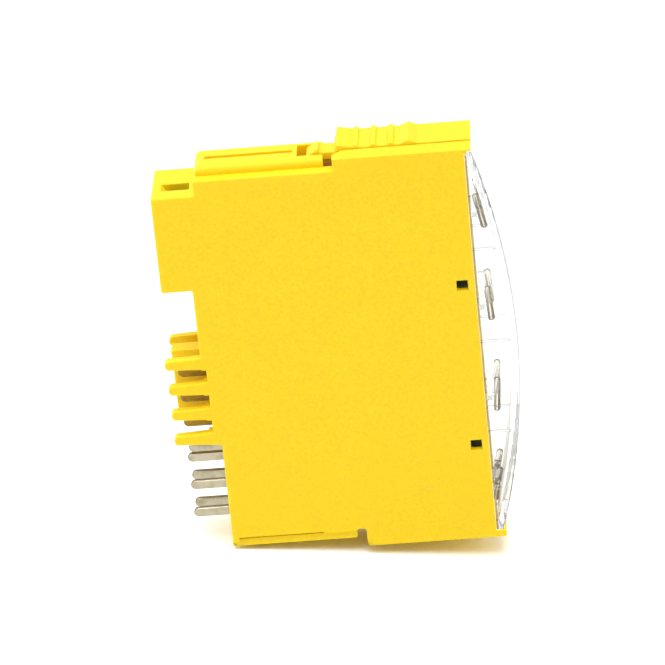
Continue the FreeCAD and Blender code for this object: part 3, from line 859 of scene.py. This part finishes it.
Finish = MouldedPlastic | ClearPlastic | PlatedMetal | LabelCard | BoardLaminate | PressedBody


def dress(nodes: Mapping[str, bpy.types.Object], names: Iterable[str], finish: Finish) -> None:
    """Give nodes of the frame a finish.

    Args:
        nodes: Objects of the frame by name.
        names: Nodes to dress.
        finish: Finish that they share.
    """
    made = finish.material()
    made.name = finish.name + "_finish"
    for name in names:
        mesh = nodes[name].data
        mesh.materials.clear()
        mesh.materials.append(made)
        LOG.info("%s wears %s", name, finish.name)


@dataclass
class Housing:
    """Two moulded halves, the release lever between them and the blade carrier."""

    pieces: tuple[str, ...] = ("left_housing", "right_housing", "latch_lever", "contact_carrier")

    def dress(self, nodes: Mapping[str, bpy.types.Object]) -> None:
        """Dress the yellow mouldings.

        Args:
            nodes: Objects of the frame by name.
        """
        dress(nodes, self.pieces, YELLOW)


@dataclass
class FrontCover:
    """Clear bowed cover with the label and the light guides behind it."""

    segments: int = 4

    def dress(self, nodes: Mapping[str, bpy.types.Object]) -> None:
        """Dress the cover, the label and the light guides.

        Args:
            nodes: Objects of the frame by name.
        """
        dress(nodes, ["front_cover"], CLEAR)
        dress(nodes, ["label_strip"], CARD)
        dress(nodes, [f"light_guide_{index + 1}" for index in range(self.segments)], GUIDE)


@dataclass
class PlugSide:
    """Contact blades and the bus connector with its contacts."""

    def dress(self, nodes: Mapping[str, bpy.types.Object]) -> None:
        """Dress the blades, the connector and its contacts.

        Args:
            nodes: Objects of the frame by name.
        """
        dress(nodes, [name for name in nodes if "_blade_" in name], TIN)
        dress(nodes, ["bus_connector"], BLACK)
        dress(nodes, ["bus_contacts"], GOLD)


@dataclass
class Electronics:
    """Circuit board and what is soldered on it."""

    def dress(self, nodes: Mapping[str, bpy.types.Object]) -> None:
        """Dress the board and its components.

        Args:
            nodes: Objects of the frame by name.
        """
        dress(nodes, ["circuit_board"], BOARD)
        dress(nodes, [name for name in nodes if "_lamp_" in name], LAMP)
        chips = ["microcontroller_a", "microcontroller_b", "bus_controller"]
        chips += [name for name in nodes if name.startswith("input_isolator")]
        dress(nodes, [*chips, "input_filter"], CHIP)
        dress(nodes, ["clock_crystal_a", "clock_crystal_b"], CAN)
        dress(nodes, ["supply_transformer", "supply_inductor"], FERRITE)
        dress(nodes, ["supply_fuse", "buffer_capacitor"], TAN)


@dataclass(frozen=True)
class StudioLamp:
    """Far, wide lamp.

    It lies in a direction from the module and spans an angle of the sky. Its irradiance is the light on a
    surface that faces it.
    """

    name: str
    towards: Point
    irradiance: float
    width_deg: float

    def hang(self) -> None:
        """Hang the lamp so that it shines on the module."""
        data = bpy.data.lights.new(self.name, "SUN")
        data.energy = self.irradiance
        data.angle = math.radians(self.width_deg)
        lamp = bpy.data.objects.new(self.name, data)
        lamp.rotation_mode = "QUATERNION"
        lamp.rotation_quaternion = Vector(self.towards).to_track_quat("Z", "Y")
        bpy.context.collection.objects.link(lamp)


@dataclass
class Studio:
    """White floor, soft lamps and the camera of the photograph.

    The photograph shows the module leaning back, so the floor is a plane that falls away from the rear edge
    of its keel towards the cover, a small gap below that edge.
    """

    # Floor, from the X and Z of the keel's rear edge
    keel_edge_mm: tuple[float, float] = (-22.3, 1.75)
    lean_deg: float = 6.5
    gap_mm: float = 0.7
    reach_m: float = 4.0
    cells: int = 8
    seen_floor: Rgb = (1.16, 1.16, 1.16)
    pale_floor: Rgb = (0.9, 0.9, 0.9)
    dull_floor: Rgb = (0.885, 0.885, 0.885)
    cloud_mm: float = 120.0
    # Light, with lamps that are named by the module's sides, as seen from its cover
    ambient: float = 0.08
    lamps: tuple[StudioLamp, ...] = (
        StudioLamp("overhead_left", towards=(0.0, -0.35, 1.0), irradiance=2.02, width_deg=42.0),
        StudioLamp("overhead_right", towards=(0.0, 0.35, 1.0), irradiance=1.1, width_deg=60.0),
        StudioLamp("rear_left", towards=(-1.0, -0.35, 0.8), irradiance=1.1, width_deg=60.0),
        StudioLamp("front_left", towards=(1.0, -0.35, 0.8), irradiance=0.65, width_deg=60.0),
        StudioLamp("front", towards=(1.0, -0.1, 0.6), irradiance=0.5, width_deg=50.0),
        StudioLamp("rear_right", towards=(-1.0, 1.0, 0.8), irradiance=0.55, width_deg=50.0),
    )
    # Camera
    pitch_deg: float = 25.32
    yaw_deg: float = 3.775
    roll_deg: float = -5.80
    distance_mm: float = 850.0
    target_mm: Point = (-1.513, 0.0, 39.055)
    pixels_per_mm: float = 5.7553
    image_pixels: int = 665
    sensor_mm: float = 36.0
    clip_start_m: float = 0.01

    def floor(self) -> None:
        """Lay a square floor: its height falls evenly along X, from a gap below the rear edge of the keel."""
        x0, z0 = self.keel_edge_mm
        points = self.cells + 1
        steps = np.linspace(-self.reach_m, self.reach_m, points)
        x, y = np.meshgrid(steps, steps, indexing="ij")
        z = (z0 - self.gap_mm) * MM - (x - x0 * MM) * math.tan(math.radians(self.lean_deg))
        corners = np.stack([x, y, z], -1).reshape(-1, 3)
        index = np.arange(points**2).reshape(points, points)
        quads = np.stack([index[:-1, :-1], index[1:, :-1], index[1:, 1:], index[:-1, 1:]], -1).reshape(-1, 4)
        mesh = bpy.data.meshes.new("floor")
        mesh.from_pydata(corners.tolist(), [], quads.tolist())
        floor = bpy.data.objects.new("floor", mesh)
        bpy.context.collection.objects.link(floor)
        mesh.materials.append(self.floor_material())

    def floor_material(self) -> bpy.types.Material:
        """Make the floor's material.

        Its colour is whiter to the camera than to the light that it throws back at the module.

        Returns:
            The material.
        """
        made, sheet = Sheet.material("floor_white")
        plain = sheet.mix(sheet.noise(self.cloud_mm), self.pale_floor, self.dull_floor)
        colour = sheet.mix(sheet.ray(Ray.CAMERA), plain, self.seen_floor)
        shader = sheet.node("ShaderNodeBsdfDiffuse", None, {"Color": colour})
        sheet.close("ShaderNodeOutputMaterial", shader)
        return made

    def world(self) -> None:
        """Surround the scene with white that lights it softly and shows full white behind it."""
        world = bpy.data.worlds.new("studio")
        world.use_nodes = True
        sheet = Sheet(world.node_tree)
        seen = sheet.ray(Ray.CAMERA)
        for kind in (Ray.GLOSSY, Ray.TRANSMISSION):
            seen = seen.at_least(sheet.ray(kind))
        white = (1.0, 1.0, 1.0, 1.0)
        level = self.ambient + seen * (1.0 - self.ambient)
        shader = sheet.node("ShaderNodeBackground", None, {"Color": white, "Strength": level})
        sheet.close("ShaderNodeOutputWorld", shader)
        bpy.context.scene.world = world

    def camera(self) -> None:
        """Place the camera: it looks at the target from its distance, pitched, yawed and rolled."""
        pitch, yaw, roll = (math.radians(angle) for angle in (self.pitch_deg, self.yaw_deg, self.roll_deg))
        back = Vector((math.sin(yaw) * math.cos(pitch), -math.cos(yaw) * math.cos(pitch), math.sin(pitch)))
        level = Vector((math.cos(yaw), math.sin(yaw), 0.0))
        right = math.cos(roll) * level + math.sin(roll) * back.cross(level)
        data = bpy.data.cameras.new("camera")
        data.sensor_width = self.sensor_mm
        data.lens = self.pixels_per_mm * self.distance_mm * self.sensor_mm / self.image_pixels
        data.clip_start = self.clip_start_m
        camera = bpy.data.objects.new("camera", data)
        turn = Matrix((right, back.cross(right), back)).transposed().to_4x4()
        place = (Vector(self.target_mm) + back * self.distance_mm) * MM
        camera.matrix_world = Matrix.Translation(place) @ turn
        bpy.context.collection.objects.link(camera)
        bpy.context.scene.camera = camera

    def build(self) -> None:
        """Set up the floor, the light and the camera."""
        self.floor()
        self.world()
        for lamp in self.lamps:
            lamp.hang()
        self.camera()
        bpy.context.scene.view_settings.view_transform = "Standard"


def main() -> None:
    """Dress the module and set up the studio."""
    logging.basicConfig(level=logging.INFO, format="%(message)s")
    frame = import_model()
    for assembly in (Housing(), FrontCover(), PlugSide(), Electronics()):
        assembly.dress(frame["nodes"])
    Studio().build()


if __name__ == "__main__":
    main()
